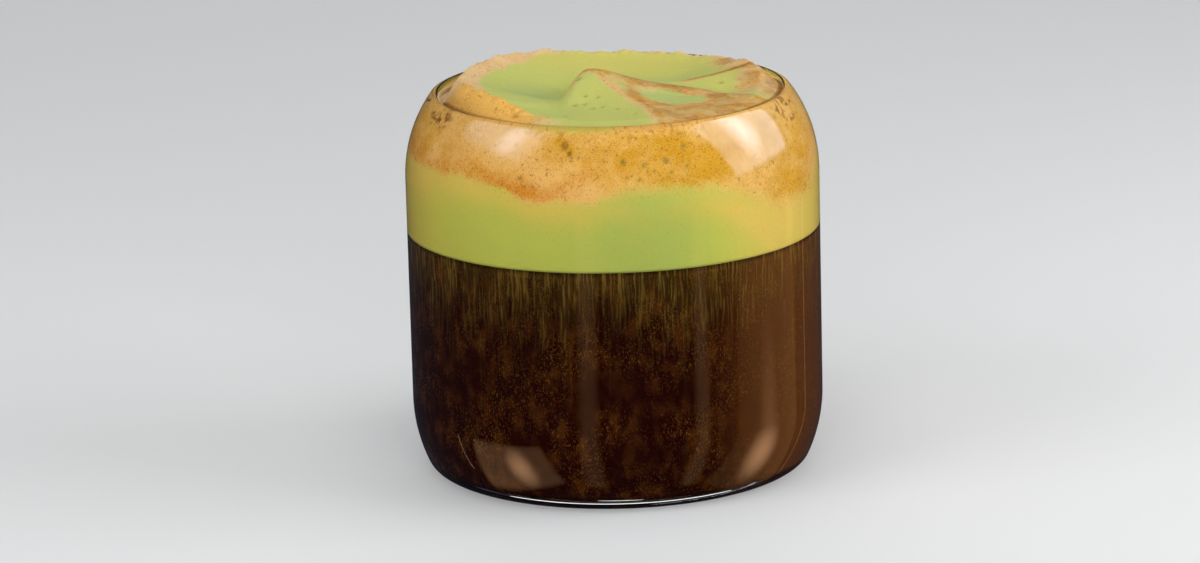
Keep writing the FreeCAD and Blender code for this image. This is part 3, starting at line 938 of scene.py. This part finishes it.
def aimed(thing, azimuth, elevation, distance):
    """Place an object at a direction counted from the front, + right, facing the drink:
    x = cos e sin a, y = -cos e cos a, z = sin e, times the distance."""
    az, el = math.radians(azimuth), math.radians(elevation)
    way = Vector((math.sin(az) * math.cos(el), -math.cos(az) * math.cos(el), math.sin(el)))
    thing.location = AIM_AT + way * distance
    thing.rotation_euler = way.to_track_quat("Z", "Y").to_euler()
    bpy.context.scene.collection.objects.link(thing)
    return thing


def soft_lamp(name, azimuth, elevation, distance, width, height, power):
    """A rectangular lamp that lights matt surfaces and leaves no mirror image."""
    light = bpy.data.lights.new(name, "AREA")
    light.shape = "RECTANGLE"
    light.size, light.size_y, light.energy = width, height, power
    lamp = aimed(bpy.data.objects.new(name, light), azimuth, elevation, distance)
    lamp.visible_glossy = False
    print(f"{name}: {power} W")


def card(name, azimuth, elevation, distance, width, height, tint, cloth, core=None,
         core_at=(0.0, 0.0), core_size=(0.1, 0.1), border=0.04):
    """A sheet that only reflections see. Its strength is `cloth` all over, rises to `core` inside
    an ellipse where the bulb sits behind it, and fades to nothing over `border` at each side."""
    w, h = width / 2, height / 2
    core = cloth if core is None else core
    mesh = bpy.data.meshes.new(name)
    mesh.from_pydata([(-w, -h, 0), (w, -h, 0), (w, h, 0), (-w, h, 0)], [], [(0, 1, 2, 3)])
    sheet = aimed(bpy.data.objects.new(name, mesh), azimuth, elevation, distance)
    material, t = new_material(name)
    here = add(t, "ShaderNodeTexCoord").outputs["Object"]
    at = add(t, "ShaderNodeSeparateXYZ", Vector=here)
    fades = [s_curve(t, maths(t, "ABSOLUTE", at.outputs[axis]), half, half - border)
             for axis, half in (("X", w), ("Y", h))]
    middle = add(t, "ShaderNodeVectorMath", {"operation": "SUBTRACT"}, i0=here,
                 i1=(*core_at, 0.0)).outputs[0]
    middle = add(t, "ShaderNodeMapping", Vector=middle,
                 Scale=(1 / core_size[0], 1 / core_size[1], 1.0)).outputs[0]
    ball = add(t, "ShaderNodeTexGradient", {"gradient_type": "SPHERICAL"},
               Vector=middle).outputs["Fac"]
    ball = s_curve(t, ball, 0.0, 1.0, To_Min=cloth, To_Max=core)
    ball = maths(t, "MULTIPLY", ball, maths(t, "MULTIPLY", *fades))
    glow = add(t, "ShaderNodeEmission", Color=tint, Strength=ball).outputs[0]
    unseen = add(t, "ShaderNodeBsdfTransparent").outputs[0]
    only = add(t, "ShaderNodeLightPath").outputs["Is Glossy Ray"]
    both = add(t, "ShaderNodeMixShader", i0=only, i1=unseen, i2=glow)
    add(t, "ShaderNodeOutputMaterial", Surface=both.outputs[0])
    mesh.materials.append(material)
    print(f"{name}: {width} x {height} m")


# %% Lamps: direction, elevation, distance, width, height, power
soft_lamp("right_lamp", 80, 16, 0.60, 0.50, 0.50, 2.3)
soft_lamp("left_lamp", -58, 32, 0.70, 0.40, 0.40, 1.15)
soft_lamp("front_fill", 0, 18, 1.6, 1.4, 1.2, 11.5)
soft_lamp("back_fill", 180, 18, 1.6, 1.4, 1.2, 7.0)
soft_lamp("top_lamp", 0, 80, 1.2, 1.0, 1.0, 3.4)

# %% Cards: direction, elevation, distance, width, height, tint, cloth, core, its place and size
DAYLIGHT, PALE_BLUE = (0.62, 0.80, 1.0, 1.0), (0.86, 0.94, 1.0, 1.0)
BROWNED = (1.0, 0.55, 0.28, 1.0)  # for the low cards, which look blue over coffee otherwise
card("right_card", 92, 30, 0.60, 0.56, 0.52, DAYLIGHT, 3.7, 13.0, (-0.02, 0.03), (0.12, 0.28),
     border=0.05)
card("left_card", -80, 39, 0.70, 0.68, 0.42, DAYLIGHT, 2.3, 8.5, (0.10, 0.0), (0.12, 0.26),
     border=0.12)
card("right_card_in_table", 92, -32, 0.60, 0.55, 0.50, BROWNED, 0.35, 5.0, (-0.02, 0.0),
     (0.14, 0.20))
card("left_card_in_table", -66, -36, 0.70, 0.60, 0.40, BROWNED, 1.0, 6.0, (0.05, 0.0),
     (0.12, 0.20), border=0.06)
card("left_gap_in_table", -16, -30, 0.60, 0.16, 0.50, BROWNED, 0.6, border=0.06)
card("right_gap_in_table", 46, -30, 0.60, 0.14, 0.50, BROWNED, 0.7, border=0.06)
card("left_frame_in_table", -100, -29, 0.60, 0.014, 0.17, BROWNED, 1.8, border=0.006)
card("right_frame_in_table", 126, -26, 0.60, 0.022, 0.30, BROWNED, 0.7, border=0.010)
card("heel_light", 106, -64, 0.45, 0.05, 0.30, PALE_BLUE, 4.0, border=0.025)

# %% [markdown]
# ## Camera
# A long lens a metre away looks fourteen degrees down on the glass, with a slight roll.

# %% Camera
PITCH, ROLL, DISTANCE = math.radians(14.4), math.radians(-1.5), 1.0195
AIM_HEIGHT, AIM_LEFT, AIM_DOWN = 0.040, 0.0030, 0.00265
LENS, SENSOR = 150.0, 36.0
ahead = Vector((0, math.cos(PITCH), -math.sin(PITCH)))
level_right, level_up = Vector((1, 0, 0)), Vector((0, math.sin(PITCH), math.cos(PITCH)))
right = level_right * math.cos(ROLL) + level_up * math.sin(ROLL)
up = level_up * math.cos(ROLL) - level_right * math.sin(ROLL)
aim = Vector((0, 0, AIM_HEIGHT)) - right * AIM_LEFT - up * AIM_DOWN
camera_data = bpy.data.cameras.new("camera")
camera_data.lens, camera_data.sensor_width = LENS, SENSOR
camera = bpy.data.objects.new("camera", camera_data)
turning = Matrix((right, up, -ahead)).transposed().to_4x4()
camera.matrix_world = Matrix.Translation(aim - ahead * DISTANCE) @ turning
bpy.context.scene.collection.objects.link(camera)
bpy.context.scene.camera = camera
bpy.context.scene.view_settings.view_transform = "Standard"
print("camera at", [round(v, 3) for v in camera.matrix_world.translation])
